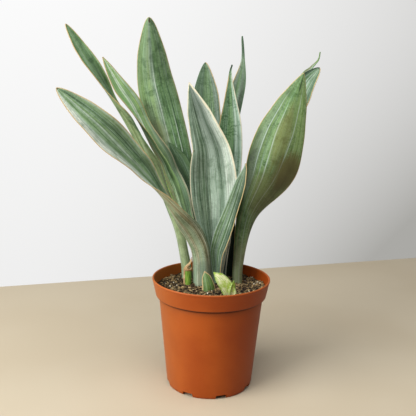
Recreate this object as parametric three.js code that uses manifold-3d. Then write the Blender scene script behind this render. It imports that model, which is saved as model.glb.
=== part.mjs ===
// Potted snake plant: a nursery pot, its soil, the rhizome in it, thirteen channelled leaves,
// a cut leaf stub, a sheath leaf and a young shoot.
// Millimetres, +Z up, +Y away from the viewer, origin at the middle of the pot's flat base.

import * as THREE from 'three';
import { mergeVertices } from 'three/addons/utils/BufferGeometryUtils.js';
import Module from 'manifold-3d';

const wasm = await Module();
wasm.setup();

// ---- driving dimensions ----

const clearance = 0.3;            // gap between pieces that touch

const potHeight = 140;
const rimRadius = 75;             // a 15 cm pot is measured across its rim
const bandHeight = 22;            // the flared band under the rim
const bandFootRadius = 70.5;
const shoulderRadius = 66.5;      // the tapered body, just under the band
const baseRadius = 55.3;
const wall = 1.7;
const floorThickness = 2.4;
const baseEdge = 3;               // rounding between floor and side
const ledgeDrop = 1;              // the ledge inside starts this far under the band
const ledgeRise = 2.3;            // and ends this far above its foot
const lip = 2;                    // flat top of the rim
const potSides = 48;

const drainCount = 8;
const drainWidth = 14;
const drainHeight = 5;
const drainDepth = 9;             // how far a drain notch runs in from the side
const drainTurn = 16;             // degrees from the front to the first notch

const soilLevel = 128;
const soilMound = 2;              // the soil stands higher in the middle
const soilLump = 0.8;             // height of the lumps in its surface
const soilRings = 5;

const footLevel = 100;            // where the leaf feet stand on the rhizome
const rhizomeRadius = 6;
const rhizomeLevel = 91;
const rhizomeSides = 6;
const crownRadius = 7;
const crownBottom = 88;
const crownSides = 8;

const leafRows = 22;
const shortLeafRows = 7;
const leafColumns = 6;
const footThickness = 4.5;
const bladeThickness = 2.2;
const marginThickness = 0.9;
const tipWidth = 1.2;
const tipTaper = 0.125;           // the last share of a leaf, where it narrows to its tip

const stubFoot = [-30, 1];
const stubRadius = 4.6;
const stubTop = 150.5;
const stubCollar = 3;             // height of the dried collar on the cut
const wispTop = [-25.5, 0, 165];

// Each leaf: spine, points along its outer midline above the foot; widths, across the blade
// laid flat; facings, the compass turn of the channelled face (0 right, 90 away from the
// viewer); cups, the angle that the section is curled through; folds, the angle between its
// halves at the midline. All but the spine are at even steps from the foot to the tip. blunt
// shapes the tip (1 is straight-sided, less is rounder); wave is the height of the margin's
// waves and waves their number.
const leaves = {
  leaf_far_left: {
    spine: [
      [-35, 25, 128], [-38, 24, 158], [-49, 19, 206], [-72, 8, 262], [-107, -7, 332],
      [-138, -18, 385], [-158, -20, 417], [-174, -20, 444],
    ],
    widths: [15, 15, 16, 20, 22, 37, 24, 25, 24],
    facings: [50, 50, 48, 42, 32, 22, 2, -32, -38],
    cups: [190, 180, 120, 70, 60, 50, 40, 30],
    folds: [0, 0, 10, 20, 20, 10],
    blunt: 0.6,
    wave: 1.6,
    waves: 5,
  },
  leaf_low_left: {
    spine: [
      [-16, -4, 128], [-18, -6, 168], [-27, -9, 192], [-42, -14, 215], [-77, -32, 268],
      [-125.5, -50, 322.5], [-176, -60, 371],
    ],
    widths: [36, 36, 36, 37, 33, 35, 42, 34, 33],
    facings: [60, 60, 55, 41, 5, -24, -44, -50, -52],
    cups: [170, 150, 130, 90, 70, 60, 40],
    folds: [0, 0, 0, 10, 15, 10],
    blunt: 0.65,
    wave: 2,
    waves: 5,
  },
  leaf_mid_left: {
    spine: [
      [-18, 33, 128], [-23, 33, 163], [-41, 30, 209], [-63, 25, 260], [-83, 20, 306],
      [-102, 15, 351], [-119, 12, 377], [-137, 8, 410],
    ],
    widths: [24, 26, 32, 44, 48, 38, 31, 23, 24],
    facings: [0, 0, -5, -8, -9, -10, -18, -48, -55],
    cups: [160, 120, 70, 70, 60, 50, 40],
    folds: [0, 10, 40, 65, 70, 55, 25, 15, 10],
    blunt: 0.8,
    wave: 1.2,
    waves: 5,
  },
  leaf_short_back: {
    spine: [
      [-6, 36, 128], [-8, 38, 165], [-14, 43, 210], [-32, 47, 255], [-46, 45, 284],
      [-59, 40, 307],
    ],
    widths: [13, 13, 13, 13, 13, 18, 25, 22],
    facings: [-60, -60, -58, -55],
    cups: [180, 120, 60, 40],
    folds: [0, 10, 10],
    blunt: 0.8,
    wave: 0.4,
    waves: 3,
  },
  leaf_tallest: {
    spine: [
      [-8, 50, 128], [-14, 51, 162], [-43, 50, 257], [-72, 43, 361], [-80, 38, 404],
      [-84, 34, 461],
    ],
    widths: [20, 22, 27, 38, 50, 55, 54, 41, 36],
    facings: [80, 90, 90, 90, 90],
    cups: [180, 120, 70, 50, 30],
    folds: [0, 10, 20, 25, 20],
    blunt: 0.55,
    wave: 1,
    waves: 4,
  },
  leaf_centre: {
    spine: [
      [6, 18, 128], [6, 17, 164], [4, 14, 198], [2, 10, 238], [-1, 7, 276], [-4, 5, 301],
      [-12, 4, 325], [-26, 4, 364], [-32, 6, 382],
    ],
    widths: [20, 21, 31, 50, 60, 57, 42, 29, 26],
    facings: [-85, -88, -90, -90, -90],
    cups: [180, 110, 60, 45, 30],
    folds: [0, 0, 0],
    blunt: 0.85,
    wave: 1,
    waves: 5,
  },
  leaf_short_front: {
    spine: [
      [8, 4, 128], [9, 1, 168], [14, -2, 189], [28, -11, 238], [37, -18, 276], [38, -20, 288],
    ],
    widths: [10, 11, 15, 24, 27, 25, 21, 17, 15],
    facings: [-110, -125, -135, -135],
    cups: [150, 110, 70, 40],
    folds: [0, 10, 10],
    blunt: 0.8,
    wave: 0.6,
    waves: 3,
  },
  leaf_right: {
    spine: [
      [36, 12, 128], [37, 12, 157], [45, 9, 215], [69, 4, 270], [87, 1, 334], [106, 4, 396],
    ],
    widths: [17, 18.5, 21.5, 30, 53, 70, 65, 43, 39],
    facings: [115, 115, 104, 94, 92, 94],
    cups: [190, 150, 95, 70, 60, 50],
    folds: [0, 0, 10, 15, 10],
    blunt: 0.82,
    wave: 1,
    waves: 3,
  },
  leaf_back_centre: {
    spine: [[6, 48, 128], [-1, 55, 189], [-5, 56, 257], [-9, 53, 323], [-12, 48, 375], [-13, 46, 409]],
    widths: [18, 20, 26, 32, 36, 38, 38, 34, 32],
    facings: [-90, -90, -90],
    cups: [180, 90, 50, 30],
    folds: [0, 10, 10],
    blunt: 0.65,
    wave: 1,
    waves: 4,
  },
  leaf_back_right: {
    spine: [
      [13, 36, 128], [12, 40, 178], [14, 44, 232], [19, 46, 285], [20, 48, 337], [19, 51, 393],
      [21, 52, 407],
    ],
    widths: [16, 18, 24, 30, 35, 36, 30, 14, 2],
    facings: [-80, -80, -80],
    cups: [180, 90, 50, 30],
    folds: [0, 10, 10],
    blunt: 0.3,
    wave: 0.8,
    waves: 4,
  },
  leaf_twisted_tail: {
    spine: [
      [23, 46, 128], [22, 58, 188], [14, 67, 243], [14, 68, 296], [20, 70, 334], [33, 73, 392],
      [36, 74, 418], [34, 72, 445],
    ],
    widths: [14, 15, 18, 20, 23, 26, 26, 25, 24, 22, 17, 3, 2],
    facings: [-90, -90, -80],
    cups: [180, 90, 50, 40],
    folds: [0, 10, 10],
    blunt: 0.3,
    wave: 0.8,
    waves: 4,
  },
  leaf_far_right: {
    spine: [
      [32, 42, 128], [38, 54, 186], [73, 64, 286], [110, 62, 384], [124, 59, 405],
      [133, 60, 416], [135, 61, 426],
    ],
    widths: [14, 18, 22, 26, 28, 26, 20, 10, 2],
    facings: [-30, -60, -110, -150],
    cups: [180, 90, 60, 60],
    folds: [0, 10, 10],
    blunt: 0.3,
    wave: 0.8,
    waves: 4,
  },
  leaf_right_back: {
    spine: [
      [37, 30, 128], [41, 34, 177], [57, 40, 240], [78, 43, 295], [105, 43, 362],
      [116, 42, 385], [132, 42, 405],
    ],
    widths: [14, 18, 24, 30, 36, 38, 38, 36, 34],
    facings: [-130, -130, -120],
    cups: [180, 90, 60, 40],
    folds: [0, 10, 10],
    blunt: 0.6,
    wave: 0.8,
    waves: 4,
  },
};

// Short growth, in the same terms.
const sheathLeaf = {
  spine: [[-3, -24, 128], [-5, -22, 140], [-8.5, -18, 152]],
  widths: [22, 22, 16, 9],
  facings: [90, 90],
  cups: [120, 100, 60],
  folds: [0, 0],
  blunt: 0.8,
  wave: 0,
  waves: 1,
};
const youngLeaf = {
  spine: [[22, -36, 128], [18.5, -37, 138], [11, -38, 149], [2.5, -38, 157]],
  widths: [13, 16, 18, 16, 9],
  facings: [-70, -70],
  cups: [110, 80, 50],
  folds: [0, 20],
  blunt: 0.8,
  wave: 0.3,
  waves: 3,
};
const youngSpike = {
  spine: [[25, -36, 128], [27, -38, 147]],
  widths: [9, 8, 5],
  facings: [-60, -60],
  cups: [40, 40],
  folds: [0, 10],
  blunt: 0.8,
  wave: 0,
  waves: 1,
};

// The rhizome's runs, as the feet that each one passes under.
const rhizomeRuns = [
  ['leaf_far_left', 'cut_stub', 'leaf_low_left', 'sheath_leaf', 'young_shoot'],
  ['leaf_far_left', 'leaf_mid_left', 'leaf_tallest', 'leaf_back_centre', 'leaf_twisted_tail'],
  ['leaf_centre', 'leaf_short_back'],
  ['leaf_low_left', 'leaf_short_front', 'leaf_centre', 'leaf_back_right', 'leaf_far_right',
    'leaf_right_back', 'leaf_right'],
];

// ---- helpers ----

// A value on a smooth curve through the given values, spaced evenly over u = 0 to 1.
function along(values, u) {
  const points = values.map((value) => new THREE.Vector2(value, 0));
  return new THREE.SplineCurve(points).getPoint(u).x;
}

function solidFromGeometry(geometry) {
  const bare = geometry.clone();
  bare.deleteAttribute('normal');
  bare.deleteAttribute('uv');
  const merged = mergeVertices(bare, 1e-4);
  return new wasm.Manifold(new wasm.Mesh({
    numProp: 3,
    vertProperties: Float32Array.from(merged.attributes.position.array),
    triVerts: Uint32Array.from(merged.index.array),
  }));
}

function geometryFromSolid(solid) {
  const mesh = solid.getMesh();
  const geometry = new THREE.BufferGeometry();
  geometry.setAttribute('position', new THREE.BufferAttribute(mesh.vertProperties, 3));
  geometry.setIndex(new THREE.BufferAttribute(mesh.triVerts, 1));
  return geometry;
}

function lathe(profile, sides) {
  const points = profile.map(([radius, height]) => new THREE.Vector2(radius, height));
  return new THREE.LatheGeometry(points, sides).rotateX(Math.PI / 2);
}

// An upright round post between two heights.
function post([x, y], radius, bottom, top, sides) {
  const geometry = new THREE.CylinderGeometry(radius, radius, top - bottom, sides);
  return geometry.rotateX(Math.PI / 2).translate(x, y, (top + bottom) / 2);
}

// A closed body from rings of points, each joined to the next, with both ends capped. A ring
// holds the inner face from margin to margin, then the outer face back; both faces are split
// into triangles alike.
function ringsToGeometry(rings, columns) {
  const ringSize = 2 * (columns + 1);
  const faces = [];
  const quad = (a, b, c, d) => faces.push(a, b, c, a, c, d);
  for (let row = 0; row < rings.length - 1; row += 1) {
    for (let side = 0; side < ringSize; side += 1) {
      const a = row * ringSize + side;
      const b = row * ringSize + (side + 1) % ringSize;
      if (side <= columns) {
        quad(a, b, b + ringSize, a + ringSize);
      } else {
        quad(b, b + ringSize, a + ringSize, a);
      }
    }
  }
  const last = (rings.length - 1) * ringSize;
  for (let column = 0; column < columns; column += 1) {
    const outer = ringSize - 1 - column;
    quad(column + 1, column, outer, outer - 1);
    quad(last + column, last + column + 1, last + outer - 1, last + outer);
  }
  const positions = rings.flat().flatMap((point) => point.toArray());
  const geometry = new THREE.BufferGeometry();
  geometry.setAttribute('position', new THREE.Float32BufferAttribute(positions, 3));
  geometry.setIndex(faces);
  return geometry;
}

// ---- leaves ----

// A leaf: a channelled section, curled towards its facing, carried from the foot to the tip.
// grow thickens it all round, for the hole that it stands in.
function leafGeometry(leaf, rows = leafRows, grow = 0) {
  const [[footX, footY]] = leaf.spine;
  const foot = new THREE.Vector3(footX, footY, footLevel - grow);
  const points = [foot, ...leaf.spine.map((point) => new THREE.Vector3(...point))];
  const spine = new THREE.CatmullRomCurve3(points, false, 'catmullrom', 0.5);
  const rings = [];
  for (let row = 0; row <= rows; row += 1) {
    const u = row / rows;
    const middle = spine.getPointAt(u);
    const tangent = spine.getTangentAt(u);
    const facing = THREE.MathUtils.degToRad(along(leaf.facings, u));
    const normal = new THREE.Vector3(Math.cos(facing), Math.sin(facing), 0);
    normal.addScaledVector(tangent, -normal.dot(tangent)).normalize();
    const across = new THREE.Vector3().crossVectors(tangent, normal);
    const taper = Math.min(1, (1 - u) / tipTaper) ** leaf.blunt;
    const width = Math.max(tipWidth, along(leaf.widths, u) * taper);
    const half = width / 2 + grow;
    const cup = THREE.MathUtils.degToRad(along(leaf.cups, u)) / 2;
    const fold = THREE.MathUtils.degToRad(along(leaf.folds, u)) / 2;
    const core = THREE.MathUtils.lerp(footThickness, bladeThickness, Math.min(1, 2.5 * u));
    const slim = Math.min(1, half / 8);
    const inner = [];
    const outer = [];
    for (let column = 0; column <= leafColumns; column += 1) {
      const v = 2 * column / leafColumns - 1;
      const turn = fold + cup * Math.abs(v);
      const reach = Math.sign(v) * half * (Math.sin(turn) - Math.sin(fold)) / cup;
      const rise = half * (Math.cos(fold) - Math.cos(turn)) / cup;
      const ripple = Math.sin(Math.PI * u) * Math.sin(2 * Math.PI * leaf.waves * u + Math.sign(v));
      const lift = rise + leaf.wave * ripple * v * v;
      const lean = Math.sign(v) * turn;
      const bulk = (core - marginThickness) * (1 - v * v) * slim;
      const offset = (marginThickness + bulk) / 2 + grow;
      for (const [face, side] of [[inner, offset], [outer, -offset]]) {
        const point = middle.clone();
        point.addScaledVector(across, reach - side * Math.sin(lean));
        point.addScaledVector(normal, lift + side * Math.cos(lean));
        face.push(point);
      }
    }
    rings.push([...inner, ...outer.reverse()]);
  }
  return ringsToGeometry(rings, leafColumns);
}

// The stub of a cut leaf: a round stalk, the dried collar on its cut and a dried wisp.
function stubSolid(grow = 0) {
  const [x, y] = stubFoot;
  const profile = [
    [0, footLevel - grow],
    [stubRadius + grow, footLevel - grow],
    [stubRadius * 0.95 + grow, stubTop - stubCollar],
    [stubRadius + 0.5 + grow, stubTop - 0.7 * stubCollar],
    [stubRadius + grow, stubTop],
    [0, stubTop + 0.5],
  ];
  const stalk = lathe(profile, 14).translate(x, y, 0);
  const root = new THREE.Vector3(x, y, stubTop - stubCollar);
  const top = new THREE.Vector3(...wispTop);
  const rise = new THREE.Vector3().subVectors(top, root);
  const wisp = new THREE.CylinderGeometry(0.5, 2.8, rise.length(), 7);
  const turn = new THREE.Quaternion().setFromUnitVectors(
    new THREE.Vector3(0, 1, 0),
    rise.clone().normalize(),
  );
  wisp.applyQuaternion(turn);
  wisp.translate(...root.clone().add(top).multiplyScalar(0.5).toArray());
  return solidFromGeometry(stalk).add(solidFromGeometry(wisp));
}

function youngShootSolid(grow = 0) {
  const leaf = solidFromGeometry(leafGeometry(youngLeaf, shortLeafRows, grow));
  return leaf.add(solidFromGeometry(leafGeometry(youngSpike, shortLeafRows, grow)));
}

// ---- pot ----

const shoulder = potHeight - bandHeight;
const insideShoulder = shoulderRadius - wall;
const insideBand = bandFootRadius - wall;
const insideRim = rimRadius - lip - 0.6;
const insideBase = baseRadius - wall;

function potGeometry() {
  const profile = [
    [0, 0],
    [baseRadius - baseEdge, 0],
    [baseRadius - 0.3 * baseEdge, 0.3 * baseEdge],
    [baseRadius, baseEdge],
    [shoulderRadius, shoulder],
    [bandFootRadius, shoulder],
    [rimRadius - 0.7, potHeight - 3],
    [rimRadius, potHeight - 2],
    [rimRadius, potHeight - 0.8],
    [rimRadius - 0.7, potHeight],
    [rimRadius - lip, potHeight],
    [insideRim, potHeight - 1],
    [insideBand, shoulder + ledgeRise],
    [insideShoulder, shoulder - ledgeDrop],
    [insideBase, baseEdge],
    [insideBase - 0.5 * baseEdge, floorThickness],
    [0, floorThickness],
  ];
  let pot = solidFromGeometry(lathe(profile, potSides));
  for (let index = 0; index < drainCount; index += 1) {
    const notch = new THREE.BoxGeometry(drainWidth, drainDepth, 2 * drainHeight);
    notch.translate(0, -(baseRadius + 1 - drainDepth / 2), 0);
    notch.rotateZ(THREE.MathUtils.degToRad(drainTurn + index * 360 / drainCount));
    pot = pot.subtract(solidFromGeometry(notch));
  }
  return geometryFromSolid(pot);
}

// ---- rhizome and soil ----

const feet = { cut_stub: stubFoot };
for (const [name, leaf] of Object.entries(leaves)) {
  feet[name] = leaf.spine[0];
}
feet.sheath_leaf = sheathLeaf.spine[0];
feet.young_shoot = youngLeaf.spine[0];
feet.young_spike = youngSpike.spine[0];

// The rhizome: level runs under the feet, with a crown that each foot stands on.
function rhizomeSolid(grow = 0) {
  const section = new THREE.Shape();
  section.absarc(0, 0, rhizomeRadius + grow, 0, 2 * Math.PI);
  const crownTop = footLevel - clearance + grow;
  const crowns = Object.values(feet).map((foot) => (
    post(foot, crownRadius + grow, crownBottom - grow, crownTop, crownSides)
  ));
  const runs = rhizomeRuns.map((names) => {
    const points = names.map((name) => new THREE.Vector3(...feet[name].slice(0, 2), rhizomeLevel));
    return new THREE.ExtrudeGeometry(section, {
      extrudePath: new THREE.CatmullRomCurve3(points, false, 'catmullrom', 0.5),
      steps: 2 * (points.length - 1),
      curveSegments: rhizomeSides / 2,
    });
  });
  const pieces = [...crowns, ...runs].map(solidFromGeometry);
  return pieces.reduce((whole, piece) => whole.add(piece));
}

// The soil fills the pot to soilLevel, with a lumpy, slightly mounded top and plain holes
// for what stands in it.
function soilGeometry() {
  const gap = 1.2 * clearance;
  const bandSlope = (insideRim - insideBand) / (bandHeight - 1 - ledgeRise);
  const edgeLevel = soilLevel - soilMound - soilLump;
  const topRadius = insideBand + bandSlope * (edgeLevel - shoulder - ledgeRise) - gap;
  const profile = [
    [0, floorThickness + clearance],
    [insideBase - 0.5 * baseEdge - gap, floorThickness + clearance],
    [insideBase - gap, baseEdge],
    [insideShoulder - gap, shoulder - ledgeDrop + gap],
    [insideBand - gap, shoulder + ledgeRise + gap],
  ];
  for (let ring = 0; ring <= soilRings; ring += 1) {
    profile.push([topRadius * (1 - ring / soilRings), soilLevel]);
  }
  const body = lathe(profile, potSides);
  const position = body.attributes.position;
  for (let index = 0; index < position.count; index += 1) {
    const x = position.getX(index);
    const y = position.getY(index);
    if (position.getZ(index) > soilLevel - 1) {
      const mound = soilMound * (1 - (x * x + y * y) / (topRadius * topRadius)) - 0.5 * soilMound;
      const lumps = Math.sin(0.31 * x + 1.3) * Math.cos(0.27 * y) + Math.sin(0.17 * x - 0.23 * y);
      position.setZ(index, soilLevel + mound + soilLump * lumps);
    }
  }
  let soil = solidFromGeometry(body).subtract(rhizomeSolid(clearance));
  for (const leaf of Object.values(leaves)) {
    soil = soil.subtract(solidFromGeometry(leafGeometry(leaf, leafRows, clearance)));
  }
  const sheathHole = leafGeometry(sheathLeaf, shortLeafRows, clearance);
  soil = soil.subtract(solidFromGeometry(sheathHole));
  soil = soil.subtract(stubSolid(clearance)).subtract(youngShootSolid(clearance));
  return geometryFromSolid(soil.simplify(0.05));
}

// ---- the plant in its pot ----

const group = new THREE.Group();

function addMesh(name, geometry, colour, roughness) {
  const material = new THREE.MeshStandardMaterial({ color: colour, roughness, metalness: 0 });
  const mesh = new THREE.Mesh(geometry, material);
  mesh.name = name;
  group.add(mesh);
}

addMesh('pot', potGeometry(), '#b65a2f', 0.45);
addMesh('soil', soilGeometry(), '#3b2c22', 0.95);
addMesh('rhizome', geometryFromSolid(rhizomeSolid()), '#c9a36a', 0.7);
for (const [name, leaf] of Object.entries(leaves)) {
  addMesh(name, leafGeometry(leaf), '#6f8f6a', 0.5);
}
addMesh('cut_stub', geometryFromSolid(stubSolid()), '#6a8f2c', 0.5);
addMesh('sheath_leaf', leafGeometry(sheathLeaf, shortLeafRows), '#5d7f45', 0.5);
addMesh('young_shoot', geometryFromSolid(youngShootSolid()), '#b9cf7c', 0.5);

export default group;
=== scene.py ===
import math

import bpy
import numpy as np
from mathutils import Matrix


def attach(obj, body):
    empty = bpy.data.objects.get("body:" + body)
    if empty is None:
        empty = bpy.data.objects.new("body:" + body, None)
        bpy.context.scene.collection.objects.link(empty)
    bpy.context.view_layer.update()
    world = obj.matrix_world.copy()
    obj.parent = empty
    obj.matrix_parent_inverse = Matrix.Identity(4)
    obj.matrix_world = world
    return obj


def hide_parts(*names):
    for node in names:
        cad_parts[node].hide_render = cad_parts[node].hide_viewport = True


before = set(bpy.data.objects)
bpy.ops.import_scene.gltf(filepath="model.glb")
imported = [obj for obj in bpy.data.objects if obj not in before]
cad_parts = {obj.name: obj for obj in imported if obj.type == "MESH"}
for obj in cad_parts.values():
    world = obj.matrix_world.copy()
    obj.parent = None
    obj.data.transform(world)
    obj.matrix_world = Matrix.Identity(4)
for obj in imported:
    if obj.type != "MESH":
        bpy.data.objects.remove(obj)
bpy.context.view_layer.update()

# Potted snake plant: thirteen channelled leaves, a cut stub, a sheath leaf and a young shoot,
# in a nursery pot filled with compost. Sizes below are in millimetres, +Z up, +Y away from
# the viewer, as in the frame; newMesh and stood turn them into metres. Colours are sRGB in 0
# to 255, apart from the lamps' tints and the sky, which are linear in 0 to 1.

millimetre = 0.001
print("frame loaded:", len(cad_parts), "nodes")


# camera and light

view = {
    "eye": (-6, -700, 357),       # where the camera stands
    "pitch": 10.36,               # degrees down
    "roll": 1.2,                  # degrees, the picture turned clockwise
    "lens": 49.24,
    "sensor": 36,                 # its width, which the lens above goes with
    "nearest": 0.01,              # metres; nothing closer is drawn
}
studio = {
    "key": {
        "at": (-1350, -880, 950), "aim": (0, 0, 180), "size": 1300, "watts": 37,
        "tint": (1.0, 0.985, 0.97),
    },
    "top": {
        "at": (-100, -500, 1600), "aim": (0, 0, 250), "size": 1200, "watts": 22,
        "tint": (1.0, 1.0, 1.0),
    },
    "sky": (1.0, 0.99, 0.98),
    "skyStrength": 0.2,
    "wall": (251, 251, 251),
    "wallShadow": (170, 169, 165),
}


def linear(colour):
    # an sRGB colour in 0 to 255 as the linear values that shaders use, with alpha
    share = np.asarray(colour, float) / 255
    low = share / 12.92
    high = ((share + 0.055) / 1.055) ** 2.4
    return (*np.where(share <= 0.04045, low, high).tolist(), 1.0)


def linked(name, data):
    # a new object in the scene
    made = bpy.data.objects.new(name, data)
    bpy.context.scene.collection.objects.link(made)
    return made


def stood(at, side, up, back):
    # the matrix of a camera or a lamp: its place in millimetres and its three axes
    turn = np.eye(4)
    turn[:3, 0], turn[:3, 1], turn[:3, 2] = side, up, back
    turn[:3, 3] = np.array(at) * millimetre
    return Matrix(turn.tolist())


def addCamera():
    pitch, roll = math.radians(view["pitch"]), math.radians(view["roll"])
    forward = np.array([0, math.cos(pitch), -math.sin(pitch)])
    right = np.array([1.0, 0, 0])
    up = np.array([0, math.sin(pitch), math.cos(pitch)])
    side = math.cos(roll) * right + math.sin(roll) * up
    upright = -math.sin(roll) * right + math.cos(roll) * up
    camera = linked("camera", bpy.data.cameras.new("camera"))
    camera.data.lens = view["lens"]
    camera.data.sensor_width = view["sensor"]
    camera.data.clip_start = view["nearest"]
    camera.matrix_world = stood(view["eye"], side, upright, -forward)
    bpy.context.scene.camera = camera


def addLight(name):
    lamp = studio[name]
    data = bpy.data.lights.new(name, "AREA")
    data.size = lamp["size"] * millimetre
    data.energy = lamp["watts"]
    data.color = lamp["tint"]
    back = np.array(lamp["at"], float) - lamp["aim"]
    back /= np.linalg.norm(back)
    side = np.cross([0, 0, 1], back)
    side /= np.linalg.norm(side)
    linked(name, data).matrix_world = stood(lamp["at"], side, np.cross(back, side), back)


def addSky():
    # a dim even sky lights the plant; in its place the camera sees a wall that darkens towards
    # the right and the foot of the picture
    world = bpy.data.worlds.new("sky")
    world.use_nodes = True
    shade = Shade("sky", world.node_tree)
    sockets = {"Color": (*studio["sky"], 1), "Strength": studio["skyStrength"]}
    light = shade.node("ShaderNodeBackground", None, sockets)
    x, y, _ = shade.parts(shade.node("ShaderNodeTexCoord", None, None, "Window"))
    fall = (1.0 - y) * 1.6
    shadow = fall * 0.17 + x * x * (fall * fall * 0.6 + 0.45)
    tone = shade.mix(shadow.limited(), studio["wall"], studio["wallShadow"])
    wall = shade.node("ShaderNodeBackground", None, {"Color": tone, "Strength": 1.0})
    seen = shade.node("ShaderNodeLightPath", None, None, "Is Camera Ray")
    chosen = shade.node("ShaderNodeMixShader", None, {0: seen, 1: light, 2: wall})
    shade.node("ShaderNodeOutputWorld", None, {"Surface": chosen})
    bpy.context.scene.world = world
    bpy.context.scene.view_settings.view_transform = "Standard"


# shader maths

class Wire:
    # a socket that can be used in Python sums
    def __init__(self, shade, socket):
        self.shade = shade
        self.socket = socket

    def maths(self, operation, *others):
        inputs = dict(enumerate((self, *others)))
        return self.shade.node("ShaderNodeMath", {"operation": operation}, inputs)

    def __add__(self, other):
        return self.maths("ADD", other)

    __radd__ = __add__

    def __mul__(self, other):
        return self.maths("MULTIPLY", other)

    def __sub__(self, other):
        return self.maths("SUBTRACT", other)

    def __rsub__(self, other):
        return self.maths("MULTIPLY_ADD", -1.0, other)

    def __truediv__(self, other):
        return self.maths("DIVIDE", other)

    def __pow__(self, other):
        return self.maths("POWER", other)

    def __abs__(self):
        return self.maths("ABSOLUTE")

    def limited(self):
        return self.maths("MINIMUM", 1.0).maths("MAXIMUM", 0.0)


class Shade:
    # a material and its nodes, or another node tree that is handed in
    def __init__(self, name, tree=None):
        if tree is None:
            self.material = bpy.data.materials.new(name)
            self.material.use_nodes = True
            tree = self.material.node_tree
        self.tree = tree
        self.tree.nodes.clear()

    def node(self, kind, settings=None, inputs=None, output=0):
        # any node: its settings first, then its sockets; a ramp's stops are (place, colour)
        made = self.tree.nodes.new(kind)
        for key, value in (settings or {}).items():
            if key == "stops":
                elements = made.color_ramp.elements
                while len(elements) < len(value):
                    elements.new(1.0)
                for element, (place, colour) in zip(elements, value):
                    element.position = place
                    element.color = colour
            else:
                setattr(made, key, value)
        for key, value in (inputs or {}).items():
            if isinstance(value, Wire):
                self.tree.links.new(value.socket, made.inputs[key])
            else:
                made.inputs[key].default_value = value
        return Wire(self, made.outputs[output]) if made.outputs else made

    def mix(self, factor, first, second, kind="MIX"):
        # each colour is a wire, or sRGB values in 0 to 255
        settings = {"data_type": "RGBA", "blend_type": kind}
        first, second = (
            colour if isinstance(colour, Wire) else linear(colour) for colour in (first, second)
        )
        return self.node("ShaderNodeMix", settings, {0: factor, 6: first, 7: second}, 2)

    def parts(self, vector):
        split = self.node("ShaderNodeSeparateXYZ", None, {0: vector})
        return [Wire(self, output) for output in split.socket.node.outputs]

    def joined(self, x, y, z):
        return self.node("ShaderNodeCombineXYZ", None, {0: x, 1: y, 2: z})

    def noise(self, vector, scale, detail=2.0, roughness=0.5):
        inputs = {"Vector": vector, "Scale": scale, "Detail": detail, "Roughness": roughness}
        return self.node("ShaderNodeTexNoise", None, inputs)

    def step(self, value, low, high):
        # 0 under low, 1 over high, smooth between
        inputs = {"Value": value, "From Min": low, "From Max": high}
        return self.node("ShaderNodeMapRange", {"interpolation_type": "SMOOTHSTEP"}, inputs)

    def attribute(self, name):
        return self.node("ShaderNodeAttribute", {"attribute_name": name}, None, "Vector")

    def scaled(self, vector, scale):
        sockets = {0: vector, "Scale": scale}
        return self.node("ShaderNodeVectorMath", {"operation": "SCALE"}, sockets)

    def place(self):
        # the place on the object, in millimetres
        return self.scaled(self.node("ShaderNodeTexCoord", None, None, "Object"), 1 / millimetre)

    def finish(self, colour, roughness, height=None, bump=0.3, depth=0.3, **fixed):
        inputs = {"Base Color": colour, "Roughness": roughness}
        inputs.update({key.replace("_", " "): value for key, value in fixed.items()})
        if height is not None:
            sockets = {"Strength": bump, "Distance": depth * millimetre, "Height": height}
            inputs["Normal"] = self.node("ShaderNodeBump", None, sockets)
        surface = self.node("ShaderNodeBsdfPrincipled", None, inputs)
        self.node("ShaderNodeOutputMaterial", None, {"Surface": surface})
        return self.material


# surfaces

def valueNoise(points, size, seed):
    # smooth noise from -1 to 1: a random value at each corner of a lattice with cells of the
    # given size, blended between corners by smoothsteps
    scaled = np.asarray(points, float) / size
    cell = np.floor(scaled)
    part = scaled - cell
    part = part * part * (3 - 2 * part)
    total = np.zeros(scaled.shape[:-1])
    mixer = np.array([12.9898, 78.233, 37.719])[:scaled.shape[-1]]
    for corner in np.ndindex(*(2,) * scaled.shape[-1]):
        weight = np.prod(np.where(corner, part, 1 - part), axis=-1)
        wave = np.sin((cell + corner) @ mixer + 7.31 * seed) * 43758.5453
        total += weight * (2 * (wave - np.floor(wave)) - 1)
    return total


def cubic(p0, p1, p2, p3):
    # what t^3, t^2, t and 1 are multiplied by in a Catmull-Rom curve from p1 to p2
    v0, v1 = 0.5 * (p2 - p0), 0.5 * (p3 - p1)
    return 2 * p1 - 2 * p2 + v0 + v1, 3 * p2 - 3 * p1 - 2 * v0 - v1, v0, p1


def curveThrough(points, samples=1600):
    # a uniform Catmull-Rom curve with reflected ends: its points, directions and the share of
    # its length at each
    points = np.asarray(points, float)
    ends = np.vstack([2 * points[0] - points[1], points, 2 * points[-1] - points[-2]])
    spot = np.linspace(0, len(points) - 1, samples)
    first = np.minimum(spot.astype(int), len(points) - 2)
    t = (spot - first)[:, None]
    a, b, c, d = cubic(*(ends[first + step] for step in range(4)))
    curve = a * t ** 3 + b * t ** 2 + c * t + d
    way = a * 3 * t ** 2 + 2 * b * t + c
    way /= np.linalg.norm(way, axis=1, keepdims=True)
    gone = np.concatenate([[0], np.cumsum(np.linalg.norm(np.diff(curve, axis=0), axis=1))])
    return curve, way, gone


def along(values, u):
    # a smooth curve through values at even steps over u = 0 to 1, level at its ends
    values = np.asarray(values, float)
    held = np.concatenate([values[:1], values, values[-1:]])
    spot = u * (len(values) - 1)
    first = np.minimum(spot.astype(int), max(len(values) - 2, 0))
    t = spot - first
    a, b, c, d = cubic(*(held[np.minimum(first + step, len(held) - 1)] for step in range(4)))
    return a * t ** 3 + b * t ** 2 + c * t + d


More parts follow.
